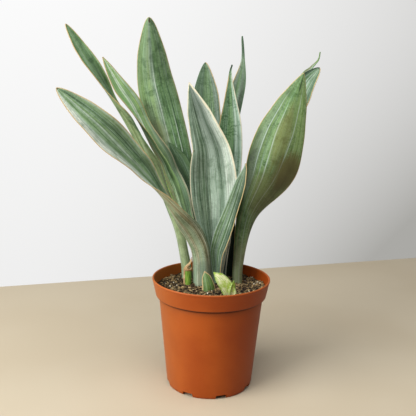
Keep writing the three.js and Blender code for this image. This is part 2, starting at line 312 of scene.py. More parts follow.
def skinFaces(rows, ring):
    # quads between neighbouring rings, and fans to the two pole points that follow them
    row, side = np.meshgrid(np.arange(rows - 1), np.arange(ring), indexing="ij")
    here, beside = row * ring + side, row * ring + (side + 1) % ring
    quads = np.stack([here, beside, beside + ring, here + ring], axis=-1).reshape(-1, 4)
    around = np.arange(ring)
    onward = (around + 1) % ring
    first, last = rows * ring, rows * ring + 1
    start = np.stack([np.full(ring, first), onward, around], axis=-1)
    top = (rows - 1) * ring
    end = np.stack([np.full(ring, last), top + around, top + onward], axis=-1)
    return quads.tolist() + start.tolist() + end.tolist()


def newMesh(name, points, faces):
    # points in millimetres
    mesh = bpy.data.meshes.new(name)
    mesh.from_pydata((np.asarray(points) * millimetre).tolist(), [], faces)
    return mesh


def addPiece(name, points, faces, material, nodes=(), attributes=None):
    mesh = newMesh(name, points, faces)
    mesh.polygons.foreach_set("use_smooth", np.ones(len(mesh.polygons), bool))
    for key, values in (attributes or {}).items():
        layer = mesh.attributes.new(key, "FLOAT_VECTOR", "POINT")
        layer.data.foreach_set("vector", np.asarray(values, float).ravel())
    mesh.materials.append(material)
    mesh.update()
    piece = linked(name, mesh)
    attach(piece, "root")
    if nodes:
        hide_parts(*nodes)
    return piece


def turned(profile, sides):
    # a profile of (radius, height) turned about Z; it starts and ends on the axis
    profile = np.asarray(profile, float)
    angle = np.arange(sides) * 2 * np.pi / sides
    rim = profile[1:-1]
    rings = np.stack([
        rim[:, :1] * np.cos(angle), rim[:, :1] * np.sin(angle), np.repeat(rim[:, 1:], sides, 1),
    ], axis=-1)
    poles = [[0, 0, profile[0][1]], [0, 0, profile[-1][1]]]
    return np.vstack([rings.reshape(-1, 3), poles]), skinFaces(len(rim), sides)


def rounded(corners, steps=5):
    # an outline through (radius, height, rounding) corners, each rounded by a short arc
    outline = [np.array(corners[0][:2], float)]
    for before, here, after in zip(corners, corners[1:], corners[2:]):
        spot = np.array(here[:2], float)
        back = np.array(before[:2], float) - spot
        on = np.array(after[:2], float) - spot
        backLength, onLength = np.linalg.norm(back), np.linalg.norm(on)
        reach = min(here[2], 0.45 * backLength, 0.45 * onLength)
        if reach <= 0:
            outline.append(spot)
            continue
        start, end = spot + back / backLength * reach, spot + on / onLength * reach
        for t in np.linspace(0, 1, steps):
            outline.append((1 - t) ** 2 * start + 2 * t * (1 - t) * spot + t * t * end)
    outline.append(np.array(corners[-1][:2], float))
    return np.array(outline)


# pot

pot = {
    "height": 140,
    "rimRadius": 75,
    "bandHeight": 22,
    "bandFootRadius": 70.5,
    "shoulderRadius": 66.5,
    "baseRadius": 55.3,
    "wall": 1.7,
    "lipInset": 2.6,              # from the rim's outside to the inside under its lip
    "ledge": 2.3,                 # from the foot of the band up to the ledge inside it
    "floor": 2.4,
    "sides": 192,
    "sharpAngle": 38,             # degrees; edges that turn more are drawn sharp
    "drainCount": 8,
    "drainWidth": 14,
    "drainHeight": 5,
    "drainDepth": 9,
    "drainRound": 1.2,
    "drainTurn": 16,
    "colour": (164, 77, 20),
    # painted light: the paler tone of the side towards the key lamp
    "litSideTint": (172, 98, 42),
    "worn": (176, 98, 50),
    "deep": (134, 50, 7),
    "dust": (122, 74, 42),
    # painted shadow: the next tone darkens the wall under the band
    "bandShadow": (76, 60, 54),       # multiplied in where the wall meets the band
    "roughness": 0.46,
}
bandFoot = pot["height"] - pot["bandHeight"]


def potMaterial():
    shade = Shade("terracottaPlastic")
    spot = shade.place()
    x, y, z = shade.parts(spot)
    cloud = shade.noise(spot, 0.02, 3.0)
    grain = shade.noise(spot, 1.4, 3.0, 0.6)
    rings = shade.noise(shade.joined(0.0, 0.0, z), 0.5, 4.0, 0.6)
    scuffs = shade.noise(shade.joined(x * 0.15, y * 0.15, z * 1.2), 0.6, 4.0, 0.65)
    colour = shade.mix(shade.step(cloud, 0.35, 0.7), pot["deep"], pot["colour"])
    colour = shade.mix(0.55, colour, pot["colour"])
    # painted light and shade: the side towards the key lamp is painted paler and the far side
    # darker
    lampSide = x - y * 0.5
    colour = shade.mix(shade.step(lampSide, 20.0, -75.0) * 0.75, colour, pot["litSideTint"])
    colour = shade.mix(shade.step(lampSide, 20.0, 80.0) * 0.65, colour, pot["deep"])
    colour = shade.mix(shade.step(scuffs, 0.6, 0.78) * 0.3, colour, pot["worn"])
    lip = shade.step(z, pot["height"] - 1.6, pot["height"] - 0.4)
    colour = shade.mix(lip * 0.6, colour, pot["worn"])
    # dust on the inside, most of it near the compost
    inside = shade.step((x * x + y * y) ** 0.5 - z * 0.2, 44.0, 42.6)
    dusty = shade.step(cloud + grain * 0.5 - (z - 122.0) * 0.025, 0.45, 0.75) * inside
    colour = shade.mix(dusty * 0.4, colour, pot["dust"])
    # painted shadow: a dark line on the wall under the band's overhang, where it meets the band
    line = shade.step(z, bandFoot - 4.4, bandFoot - 1.2)
    line = line * shade.step(z, bandFoot + 0.8, bandFoot + 0.1)
    colour = shade.mix(line * 0.9, colour, pot["bandShadow"], "MULTIPLY")
    base = shade.step(z + grain * 6.0, 8.0, 2.0)
    colour = shade.mix(base * 0.25, colour, pot["deep"])
    roughness = pot["roughness"] + scuffs * 0.12 - 0.06 + dusty * 0.3
    height = rings * 0.5 + grain * 0.35 + scuffs * 0.3
    return shade.finish(colour, roughness, height, 0.25, 0.15, Specular_IOR_Level=0.22)


def addPot():
    top, foot, wall, floor = pot["height"], bandFoot, pot["wall"], pot["floor"]
    rim, band, shoulder, base = (
        pot[key] for key in ("rimRadius", "bandFootRadius", "shoulderRadius", "baseRadius")
    )
    # (radius, height, rounding), from the middle of the base out, up, in over the rim and down
    corners = [
        (0, 0, 0), (base - 0.9, 0, 1.2), (base, 3, 2), (shoulder, foot, 0.5),
        (band - 0.4, foot - 0.3, 0.5), (band, foot + 0.8, 0.8), (rim - 0.7, top - 3.4, 0.6),
        (rim, top - 2, 0.8), (rim, top, 0.9), (rim - 2, top, 0.7),
        (rim - pot["lipInset"], top - 1.4, 1), (band - wall, foot + pot["ledge"], 1),
        (shoulder - wall, foot - 1, 1), (base - wall, 4, 2), (base - 3.2, floor, 1), (0, floor, 0),
    ]
    outline = rounded(corners)
    # long stretches get rows in between, so that bands of shading stay even
    rows = [outline[:1]]
    for start, end in zip(outline, outline[1:]):
        count = max(1, int(np.linalg.norm(end - start) / 8))
        rows.append(start + (end - start) * (np.arange(1, count + 1) / count)[:, None])
    points, faces = turned(np.vstack(rows), pot["sides"])
    piece = addPiece("potShell", points, faces, potMaterial(), ["pot"])
    cutDrains(piece)
    piece.data.set_sharp_from_angle(angle=math.radians(pot["sharpAngle"]))


def cutDrains(piece):
    # the notches: a rounded rectangle (across, up) carried inwards from outside the wall
    half, high, bend = pot["drainWidth"] / 2, pot["drainHeight"], pot["drainRound"]
    turn = np.linspace(0, np.pi / 2, 5)
    arc = np.stack([half - bend + bend * np.cos(turn), high - bend + bend * np.sin(turn)], 1)
    section = np.vstack([[[half, -5]], arc, arc[::-1] * [-1, 1], [[-half, -5]]])[::-1]
    ring = len(section)
    ends = [-(pot["baseRadius"] + 2), -(pot["baseRadius"] + 1 - pot["drainDepth"])]
    box = np.stack([
        np.column_stack([section[:, 0], np.full(ring, y), section[:, 1]]) for y in ends
    ])
    box = np.vstack([box.reshape(-1, 3), [[0, ends[0], 0], [0, ends[1], 0]]])
    faces = skinFaces(2, ring)
    points, allFaces = [], []
    for index in range(pot["drainCount"]):
        angle = math.radians(pot["drainTurn"] + index * 360 / pot["drainCount"])
        c, s = math.cos(angle), math.sin(angle)
        points.append(box @ np.array([[c, s, 0], [-s, c, 0], [0, 0, 1]]))
        allFaces += [[corner + len(box) * index for corner in face] for face in faces]
    cutter = linked("drainCutter", newMesh("drainCutter", np.vstack(points), allFaces))
    cut = piece.modifiers.new("drains", "BOOLEAN")
    cut.operation = "DIFFERENCE"
    cut.solver = "EXACT"
    cut.object = cutter
    graph = bpy.context.evaluated_depsgraph_get()
    result = bpy.data.meshes.new_from_object(piece.evaluated_get(graph))
    piece.modifiers.clear()
    piece.data = result
    bpy.data.objects.remove(cutter)


# soil

soil = {
    "level": 128,
    "mound": 2,
    "lump": 0.8,
    "sides": 260,
    "rings": 84,
    "crumb": 1.5,                 # height of the larger crumbs in the surface
    "dark": (26, 19, 14),
    "brown": (82, 62, 42),
    "tan": (176, 144, 100),
    "hollowShade": (14, 10, 7),
    "seed": 7,
}
grains = {
    "crumbs": {
        "count": 2900, "size": (0.5, 1.8), "flat": 0.75,
        "tones": ((20, 16, 11), (168, 142, 98)),
    },
    "bark": {
        "count": 420, "size": (1.1, 3.0), "flat": 0.4,
        "tones": ((40, 29, 18), (196, 168, 120)),
    },
    "perlite": {
        "count": 70, "size": (0.6, 1.7), "flat": 0.8,
        "tones": ((204, 192, 164), (236, 230, 214)),
    },
}


def soilEdge():
    # the radius inside the band at the level of the compost's edge, with 0.1 mm to spare
    inner = pot["bandFootRadius"] - pot["wall"]
    widening = pot["rimRadius"] - pot["lipInset"] - pot["bandFootRadius"] + pot["wall"]
    slope = widening / (pot["bandHeight"] - 3.3)
    return inner + slope * (soil["level"] - soil["mound"] - bandFoot - pot["ledge"]) - 0.1


def soilHeight(x, y):
    # the compost's level: a low mound, broad lumps and crumbs from three sizes of noise
    spread = (x * x + y * y) / soilEdge() ** 2
    mound = soil["mound"] * (0.5 - spread)
    lumps = np.sin(0.31 * x + 1.3) * np.cos(0.27 * y) + np.sin(0.17 * x - 0.23 * y)
    spot = np.stack([x, y], axis=-1)
    crumbs = 0.55 * valueNoise(spot, 7, 1) + 0.6 * np.abs(valueNoise(spot, 3.2, 2))
    crumbs = crumbs + 0.35 * np.abs(valueNoise(spot, 1.5, 3))
    return soil["level"] + mound + soil["lump"] * lumps + soil["crumb"] * crumbs * 0.7 - 0.5


def soilMaterial():
    shade = Shade("compost")
    spot = shade.place()
    coarse = shade.noise(spot, 0.35, 5.0, 0.65)
    fine = shade.noise(spot, 1.6, 4.0, 0.7)
    cells = shade.node("ShaderNodeTexVoronoi", None, {"Vector": spot, "Scale": 0.62}, "Color")
    flecks = shade.parts(cells)[0]
    colour = shade.mix(shade.step(coarse, 0.38, 0.66), soil["dark"], soil["brown"])
    chips = shade.step(flecks, 0.7, 0.9) * shade.step(fine, 0.4, 0.6)
    colour = shade.mix(chips * 0.8, colour, soil["tan"])
    # painted shade: the low spots of the fine bump are darkened
    colour = shade.mix(shade.step(fine, 0.52, 0.36) * 0.8, colour, soil["hollowShade"])
    height = coarse + fine * 0.6
    return shade.finish(colour, 0.85 + fine * 0.1, height, 0.6, 0.8, Specular_IOR_Level=0.25)


def addSoil():
    # up the pot's inside to its ledge, with room to spare, then in over the top ring by ring
    base, shoulder, band = (
        pot[key] - pot["wall"] for key in ("baseRadius", "shoulderRadius", "bandFootRadius")
    )
    low, sides = pot["floor"] + 0.3, soil["sides"]
    wall = [
        (0, low), (base - 2.2, low), (base - 0.4, 4.5), (shoulder - 0.4, bandFoot - 0.6),
        (band - 0.4, bandFoot + 2.7),
    ]
    top = [(radius, 0) for radius in soilEdge() * np.linspace(1, 0, soil["rings"] + 1)]
    points, faces = turned(wall + top, sides)
    first = (len(wall) - 1) * sides
    over = np.r_[first:len(points) - 2, len(points) - 1]
    points[over, 2] = soilHeight(points[over, 0], points[over, 1])
    addPiece("compostBody", points, faces, soilMaterial(), ["soil"])


def swung(a, b, angle):
    # two coordinates turned together, one angle for each row
    c, s = np.cos(angle)[:, None], np.sin(angle)[:, None]
    return c * a - s * b, s * a + c * b


def scattered(kind, rng):
    # lumps on the compost: a small globe of 6 by 4 patches, dented at random, flattened, turned
    # and laid where a random spot in the pot falls
    count = kind["count"]
    low, high = kind["size"]
    size = low + (high - low) * rng.random(count) ** 2.2
    reach = (soilEdge() - 1.0) * np.sqrt(rng.random(count))
    angle = rng.random(count) * 2 * np.pi
    x, y = reach * np.cos(angle), reach * np.sin(angle)
    rise = np.array([-0.62, 0.0, 0.62]) * np.pi / 2
    ball, patches = turned([(0, -1), *zip(np.cos(rise), np.sin(rise)), (0, 1)], 6)
    shape = ball[None] * (1 + 0.45 * (rng.random((count, len(ball), 1)) - 0.5))
    flat = np.full(count, kind["flat"])
    stretch = np.stack([1 + 0.6 * rng.random(count), np.ones(count), flat], -1)
    side, deep, up = np.moveaxis(shape * stretch[:, None, :] * size[:, None, None], -1, 0)
    tilt, spin = (rng.random(count) - 0.5) * 1.2, rng.random(count) * 2 * np.pi
    up, side = swung(up, side, tilt)
    side, deep = swung(side, deep, spin)
    ground = soilHeight(x, y) + 0.35 * size * kind["flat"]
    points = np.stack([side, deep, up], -1) + np.stack([x, y, ground], -1)[:, None, :]
    step = (np.arange(count) * len(ball))[:, None, None]
    faces = []
    for corners in (4, 3):
        alike = np.array([patch for patch in patches if len(patch) == corners])
        faces += (alike + step).reshape(-1, corners).tolist()
    tone = np.repeat(rng.random(count) ** 1.8, len(ball))
    return points.reshape(-1, 3), faces, np.stack([tone, tone, tone], -1)


def grainMaterial(name, dark, light):
    shade = Shade(name)
    tone = shade.parts(shade.attribute("grainTone"))[0]
    fine = shade.noise(shade.place(), 2.2, 3.0, 0.6)
    colour = shade.mix(tone, dark, light)
    colour = shade.mix(shade.step(fine, 0.6, 0.35) * 0.5, colour, [0.6 * c for c in dark])
    return shade.finish(colour, 0.9, fine, 0.4, 0.4, Specular_IOR_Level=0.25)


def addGrains():
    rng = np.random.default_rng(soil["seed"])
    for name, kind in grains.items():
        points, faces, tone = scattered(kind, rng)
        material = grainMaterial(name + "Grain", *kind["tones"])
        addPiece(name, points, faces, material, attributes={"grainTone": tone})


# leaves

tones = {
    "deep": (40, 60, 44),
    "dark": (62, 90, 68),
    "blue": (84, 112, 98),
    "mid": (88, 118, 86),
    "green": (106, 138, 94),
    "moss": (98, 128, 72),
    "lime": (128, 156, 106),
    "celery": (148, 172, 124),
    "sage": (108, 128, 108),
    "grey": (128, 150, 132),
    "silver": (160, 180, 166),
    "pale": (196, 208, 198),
    "olive": (110, 104, 60),
    "mauve": (132, 128, 106),
    "bark": (62, 54, 34),
    "cream": (224, 216, 188),
    "tan": (198, 172, 126),
    "rust": (130, 88, 50),
}
leafShape = {
    "footLevel": 100,             # where the stalks start, inside the compost
    "footThickness": 4.5,
    "bladeThickness": 2.2,
    "marginThickness": 0.9,
    "tipWidth": 1.2,
    "tipTaper": 0.125,            # share of the length that narrows to the tip
    "rows": 150,
    "tipRows": 26,
    "columns": 24,
    "marginSteps": 3,
}
# the tones of a leaf's fine marks, each multiplied into the colour under it, and its sheen
leafMarks = {
    "streak": (134, 156, 138),
    "blotch": (160, 180, 160),
    "band": (142, 166, 142),
    "grit": (150, 166, 146),
    "roughness": 0.42,
}
# the stripes of faces that the photo doesn't show
plainBack = [(-1, "green"), (0, "mid"), (1, "green")]

# Each leaf starts with its form, as in the frame: spine, widths, facings, cups, folds, tip and
# wave. nicks draw a margin in, or out where the depth is negative: (side -1 or 1, share of the
# length, spread, depth). A shape takes the place of values in leafShape.
# Then comes its look. Places across the blade run from -1 to 1, shares of the length from 0 to 1
# and faces are 0 inner, 1 outer, 2 both.
#   inner, outer    stops across the blade: (place, tone)
#   ...Lines        narrow lines set into them: (place, half width, tone)
#   ...Gain         what their red, green and blue are multiplied by
#   veins           lines with ends: (face, first place, last place, first share, last share,
#                   half width, tone, strength)
#   patches         (face, place, half width, share, half length, tone, strength)
#   gains           painted light and shade, lighter or darker: (face, place, half width, share, half length, gain)
#   margins         the tones of the two edges; marginWidths makes them wider, and marginStart
#                   and marginStop are the shares between which they fade in and out
#   banding, mottle, streaks    how strong the cross bands, the blotches and the streaks are
leaves = {}
leaves["leaf_far_left"] = {
    "spine": [
        [-35, 25, 128], [-38, 24, 158], [-49, 19, 206], [-72, 8, 262], [-107, -7, 332],
        [-138, -18, 385], [-158, -20, 417], [-174, -20, 444],
    ],
    "widths": [20, 20, 19, 20, 22, 37, 24, 25, 24],
    "facings": [50, 50, 48, 42, 32, 22, 2, -32, -38],
    "cups": [190, 180, 120, 70, 60, 50, 40, 30],
    "folds": [0, 0, 10, 20, 20, 10],
    "tip": 0.6,
    "wave": (1.6, 5),
    "nicks": [(-1, 0.64, 0.05, 0.45), (-1, 0.52, 0.055, -0.85), (-1, 0.44, 0.06, -0.4)],
    "inner": [
        (-1, "mid"), (-0.5, "green"), (-0.25, "grey"), (0, "green"), (0.2, "mid"), (0.5, "mid"),
        (0.72, "green"), (1, "lime"),
    ],
    "innerLines": [(-0.4, 0.03, "mid"), (0.1, 0.03, "grey"), (0.5, 0.03, "moss")],
    "innerGain": (1.12, 1.18, 0.95),
    "outer": [(-1, "lime"), (-0.7, "celery"), (-0.4, "celery"), (0, "lime"), (1, "green")],
    "outerLines": [(-0.55, 0.03, "moss"), (-0.3, 0.03, "lime"), (0.1, 0.04, "silver")],
    "patches": [(2, 0, 2, 1.0, 0.006, "bark", 0.8), (1, 0, 2, 0.1, 0.25, "mauve", 0.35)],
    "gains": [
        (0, 0.2, 0.8, 0.8, 0.1, 0.75), (1, -1, 0.5, 0.4, 0.2, 0.5),
        (1, -0.25, 0.6, 0.42, 0.14, 1.45),
        (1, 0, 2.5, 0.12, 0.22, 1.4),
    ],
    "margins": ("tan", "tan"),
    "marginStart": (0.6, 0.74),
    "banding": 0.3,
    "streaks": 0.5,
    "mottle": 0.6,
}
leaves["leaf_low_left"] = {
    "spine": [
        [-16, -4, 128], [-18, -6, 168], [-27, -9, 192], [-42, -14, 215], [-77, -32, 268],
        [-125.5, -50, 322.5], [-176, -60, 371],
    ],
    "widths": [36, 36, 36, 37, 33, 35, 42, 34, 33],
    "facings": [60, 60, 55, 41, 5, -24, -44, -50, -52],
    "cups": [170, 150, 130, 90, 70, 60, 40],
    "folds": [0, 0, 0, 10, 15, 10],
    "tip": 0.65,
    "wave": (2, 5),
    "inner": [
        (-1, "pale"), (-0.7, "pale"), (-0.5, "silver"), (-0.32, "green"), (-0.12, "green"),
        (0.04, "grey"), (0.22, "green"), (0.42, "mid"), (0.6, "mid"), (0.8, "green"), (1, "silver"),
    ],
    "innerLines": [
        (-0.6, 0.02, "grey"), (-0.22, 0.025, "mid"), (0.08, 0.035, "silver"), (0.33, 0.03, "dark"),
        (0.52, 0.03, "dark"), (0.7, 0.02, "mid"),
    ],
    "innerGain": (1.12, 1.04, 1.02),
    "outer": [
        (-1, "grey"), (-0.7, "mauve"), (-0.35, "grey"), (-0.1, "mauve"), (0.2, "grey"),
        (0.6, "mauve"), (1, "silver"),
    ],
    "outerLines": [
        (-0.8, 0.02, "pale"), (-0.5, 0.02, "silver"), (-0.2, 0.02, "mid"), (0.02, 0.02, "pale"),
        (0.3, 0.03, "mid"), (0.5, 0.02, "pale"), (0.8, 0.02, "mid"),
    ],
    "outerGain": (1.35, 1.25, 1.05),
    "patches": [(2, 0, 2, 1.0, 0.008, "bark", 0.9), (1, 0, 1.5, 0.12, 0.08, "grey", 0.4)],
    "gains": [
        (0, 0.1, 1.1, 1.0, 0.22, 1.3), (0, -0.1, 0.6, 0.6, 0.15, 0.85),
        (0, 0.3, 0.2, 0.6, 0.12, 1.35),
        (1, -0.95, 0.3, 0.2, 0.15, 0.6), (1, -0.5, 1, 0.32, 0.08, 0.72),
    ],
    "margins": ("tan", "tan"),
    "marginStart": (0.32, 0.45),
    "banding": 0.35,
    "streaks": 0.5,
}
leaves["leaf_mid_left"] = {
    "spine": [
        [-18, 33, 128], [-23, 33, 163], [-41, 30, 209], [-62, 25, 260], [-69.5, 22.5, 284],
        [-81, 20, 306], [-102, 15, 351], [-119, 12, 377], [-137, 8, 410],
    ],
    "widths": [24, 26, 32, 44, 48, 38, 31, 23, 24],
    "facings": [0, 0, -5, -8, -9, -10, -18, -48, -55],
    "cups": [160, 120, 70, 70, 60, 50, 40],
    "folds": [0, 10, 40, 65, 70, 55, 25, 15, 10],
    "tip": 0.8,
    "wave": (1.2, 5),
    "nicks": [(1, 0.7, 0.05, 0.12), (1, 0.59, 0.07, 0.25)],
    "inner": [
        (-1, "green"), (-0.6, "green"), (-0.3, "green"), (0, "silver"), (0.3, "green"),
        (0.6, "lime"), (0.8, "grey"), (1, "green"),
    ],
    "innerLines": [
        (-0.12, 0.03, "pale"), (0.16, 0.03, "pale"), (-0.6, 0.03, "mid"), (0.45, 0.03, "mid"),
        (0.7, 0.03, "silver"),
    ],
    "innerGain": (2.0, 1.95, 1.7),
    "outer": [
        (-1, "green"), (-0.8, "mid"), (-0.6, "grey"), (-0.4, "mauve"), (-0.1, "lime"), (0.3, "mid"),
        (1, "green"),
    ],
    "outerLines": [(0, 0.04, "silver"), (-0.7, 0.03, "silver"), (-0.25, 0.03, "moss")],
    "outerGain": (2.1, 1.95, 1.8),
    "veins": [(0, 0.97, 0.97, 0.26, 0.74, 0.07, "cream", 1.6)],
    "patches": [(2, 0, 2, 1.0, 0.006, "bark", 0.7), (0, 0.7, 0.6, 0.5, 0.24, "sage", 0.6)],
    "gains": [
        (1, -0.35, 0.4, 0.45, 0.14, 3.0), (0, 0.7, 0.6, 0.5, 0.2, 0.85),
        (1, -0.9, 0.35, 0.4, 0.08, 0.65), (0, 0.95, 0.45, 0.37, 0.15, 3.0),
    ],
    "margins": ("tan", "tan"),
    "marginStart": (0.52, 0.7),
    "banding": 0.3,
    "streaks": 0.5,
}
leaves["leaf_short_back"] = {
    "spine": [
        [-6, 36, 128], [-8, 38, 165], [-14, 43, 210], [-32, 47, 255], [-46, 45, 284],
        [-59, 40, 307],
    ],
    "widths": [13, 13, 13, 13, 13, 18, 25, 22],
    "facings": [-60, -60, -58, -55],
    "cups": [180, 120, 60, 40],
    "folds": [0, 10, 10],
    "tip": 0.8,
    "wave": (0.4, 3),
    "inner": [(-1, "blue"), (-0.3, "dark"), (0.3, "blue"), (1, "mid")],
    "innerLines": [(0, 0.05, "mid")],
    "innerGain": (1.7, 1.55, 1.2),
    "outer": [(-1, "dark"), (0, "blue"), (1, "dark")],
    "outerLines": [(0, 0.05, "mid")],
    "patches": [(2, 0, 2, 1.0, 0.012, "bark", 0.9)],
    "gains": [(0, -0.7, 0.9, 0.75, 0.3, 0.5), (0, 0, 2.5, 0.8, 0.5, 1.12)],
    "margins": ("mid", "mid"),
    "banding": 0.4,
}
leaves["leaf_tallest"] = {
    "spine": [
        [-8, 50, 128], [-14, 51, 162], [-43, 50, 257], [-72, 43, 361], [-80, 38, 404],
        [-84, 34, 461],
    ],
    "widths": [20, 22, 27, 38, 50, 55, 54, 41, 36],
    "facings": [80, 90, 90, 90, 90],
    "cups": [180, 120, 70, 50, 30],
    "folds": [0, 10, 20, 25, 20],
    "tip": 0.55,
    "wave": (1, 4),
    "inner": [(-1, "green"), (-0.3, "grey"), (0, "silver"), (0.3, "grey"), (1, "green")],
    "innerLines": [(-0.5, 0.04, "mid"), (0.5, 0.04, "mid")],
    "outer": [
        (-1, "celery"), (-0.8, "green"), (-0.4, "green"), (-0.1, "green"), (0.05, "grey"),
        (0.25, "lime"), (0.5, "green"), (0.8, "moss"), (1, "green"),
    ],
    "outerLines": [
        (-0.3, 0.03, "mid"), (-0.55, 0.03, "dark"), (-0.7, 0.02, "grey"), (0.42, 0.02, "mid"),
    ],
    "veins": [
        (1, 0.02, 0.0, 0.25, 0.89, 0.026, "pale", 0.6),
        (1, -0.42, -0.5, 0.15, 0.7, 0.028, "pale", 0.7),
        (1, -0.2, -0.25, 0.1, 0.66, 0.025, "silver", 0.8),
        (1, 0.16, 0.2, 0.3, 0.75, 0.02, "silver", 0.6),
    ],
    "patches": [
        (1, 0.4, 0.5, 0.6, 0.07, "olive", 0.3), (1, -0.06, 0.3, 0.992, 0.012, "bark", 1.0),
    ],
    "gains": [
        (1, -0.6, 0.6, 0.96, 0.16, 0.78), (1, 0.75, 0.5, 0.62, 0.14, 0.45),
        (1, -0.6, 0.7, 0.6, 0.14, 1.6), (1, 0.1, 0.9, 0.755, 0.05, 1.3),
        (1, 0.18, 0.3, 0.9, 0.1, 0.7), (1, 0.5, 0.4, 0.58, 0.1, 0.75),
    ],
    "margins": ("tan", "tan"),
    "banding": 0.4,
    "mottle": 0.7,
    "streaks": 0.25,
}
leaves["leaf_centre"] = {
    "spine": [
        [6, 18, 128], [6, 17, 164], [4, 14, 198], [2, 10, 238], [-1, 7, 276], [-4, 5, 301],
        [-12, 4, 325], [-26, 4, 364], [-32, 6, 382],
    ],
    "widths": [20, 21, 31, 50, 60, 57, 42, 29, 26],
    "facings": [-85, -88, -90, -90, -90],
    "cups": [180, 110, 60, 45, 30],
    "folds": [0, 0, 0],
    "tip": 0.85,
    "wave": (1, 5),
    "nicks": [(-1, 0.72, 0.006, 0.04)],
    "inner": [
        (-1, "grey"), (-0.7, "sage"), (-0.5, "sage"), (-0.24, "sage"),
        (-0.12, "silver"), (0.12, "silver"), (0.26, "grey"), (0.38, "grey"), (0.48, "silver"),
        (0.6, "pale"), (0.86, "pale"), (1, "pale"),
    ],
    "innerLines": [
        (-0.78, 0.02, "silver"), (-0.62, 0.025, "dark"), (-0.42, 0.025, "mid"),
        (-0.28, 0.03, "dark"), (0.32, 0.035, "dark"), (0.68, 0.015, "grey"),
    ],
    "outer": plainBack,
    "outerLines": [(0, 0.04, "pale")],
    "patches": [
        (2, -1, 0.12, 0.718, 0.008, "bark", 1.0), (2, 0, 2, 1.0, 0.006, "bark", 0.8),
    ],
    "gains": [
        (0, 0.2, 0.75, 0.95, 0.32, 0.48), (0, 0, 2.5, 0.35, 0.24, 1.35),
        (0, -0.6, 0.5, 0.62, 0.1, 0.85),
    ],
    "margins": ("cream", "cream"),
    "marginWidths": (1.0, 3.0),
    "banding": 0.25,
    "streaks": 0.5,
}
leaves["leaf_short_front"] = {
    "spine": [
        [8, 4, 128], [9, 1, 168], [14, -2, 189], [28, -11, 238], [37, -18, 276], [38, -20, 288],
    ],
    "widths": [10, 11, 15, 24, 27, 25, 21, 17, 15],
    "facings": [-110, -125, -135, -135],
    "cups": [150, 110, 70, 40],
    "folds": [0, 10, 10],
    "tip": 0.8,
    "wave": (0.6, 3),
    "inner": [
        (-1, "green"), (-0.6, "green"), (-0.35, "grey"), (-0.1, "green"), (0.2, "green"),
        (0.45, "grey"), (0.75, "mid"), (1, "mid"),
    ],
    "innerLines": [
        (-0.72, 0.04, "silver"), (-0.45, 0.04, "dark"), (-0.2, 0.04, "silver"),
        (0.02, 0.03, "mid"), (0.14, 0.04, "pale"), (0.33, 0.04, "dark"), (0.7, 0.04, "dark"),
    ],
    "outer": plainBack,
    "outerLines": [(0, 0.05, "grey")],
    "patches": [(2, 0, 2, 1.0, 0.01, "bark", 0.7)],
    "gains": [
        (0, 0.5, 0.6, 0.6, 0.4, 0.75), (0, 0, 2.5, 0.85, 0.25, 0.75), (0, 0, 2.5, 0.4, 0.2, 0.85),
    ],
    "margins": ("silver", "tan"),
    "banding": 0.35,
    "streaks": 0.5,
}
leaves["leaf_right"] = {
    "spine": [
        [36, 12, 128], [37, 12, 157], [45, 9, 215], [69, 4, 270], [87, 1, 334], [106, 4, 396],
    ],
    "widths": [17, 18.5, 21.5, 30, 53, 70, 65, 43, 39],
    "facings": [115, 115, 104, 94, 92, 94],
    "cups": [190, 150, 95, 70, 60, 50],
    "folds": [0, 0, 10, 15, 10],
    "tip": 0.82,
    "wave": (1, 3),
    "nicks": [(-1, 0.57, 0.1, -0.14)],
    "inner": [(-1, "green"), (-0.3, "grey"), (0.3, "silver"), (1, "green")],
    "innerLines": [(0, 0.04, "pale"), (-0.5, 0.04, "mid")],
    "outer": [
        (-1, "lime"), (-0.7, "lime"), (-0.3, "lime"), (-0.1, "green"), (0.1, "green"),
        (0.3, "green"), (0.5, "moss"), (0.7, "green"), (0.9, "moss"), (1, "moss"),
    ],
    "outerGain": (0.97, 0.98, 0.84),
    "outerLines": [(-0.7, 0.03, "moss"), (0.45, 0.03, "mid"), (0.05, 0.03, "moss")],
    "veins": [
        (1, 0.62, 0.6, 0.5, 0.93, 0.028, "silver", 1.2),
        (1, 0.22, 0.26, 0.35, 0.9, 0.03, "silver", 0.9),
        (1, -0.12, -0.45, 0.3, 0.97, 0.026, "silver", 1.2),
        (1, 0.42, 0.42, 0.3, 0.7, 0.025, "grey", 0.8),
        (1, 0.1, 0.1, 0.02, 0.45, 0.07, "grey", 0.8),
        (1, -0.4, -0.36, 0.02, 0.5, 0.05, "silver", 0.6),
        (1, 0.6, 0.6, 0.04, 0.45, 0.05, "mauve", 0.8),
    ],
    "patches": [
        (1, -0.02, 0.36, 0.74, 0.16, "olive", 0.5), (1, -0.65, 0.6, 0.61, 0.09, "olive", 0.85),
        (1, -0.2, 0.9, 0.5, 0.12, "olive", 0.5), (1, 0, 2, 0.1, 0.2, "mauve", 0.5),
        (1, -0.12, 0.1, 0.955, 0.035, "deep", 0.8),
    ],
    "gains": [
        (1, 0, 2.4, 0.3, 0.36, 0.78), (1, 0.85, 0.4, 0.52, 0.22, 0.3),
        (1, -0.7, 0.6, 0.4, 0.2, 0.6),
        (1, -0.5, 0.75, 0.6, 0.1, 0.66), (1, 0.75, 0.4, 0.75, 0.25, 0.85),
        (1, -0.8, 0.5, 0.85, 0.18, 1.4), (1, 0.1, 0.5, 0.8, 0.2, 1.25),
        (1, -0.1, 1.4, 0.14, 0.18, 1.4),
    ],
    "margins": ("tan", "tan"),
    "banding": 0.55,
    "mottle": 0.6,
    "streaks": 0.25,
}
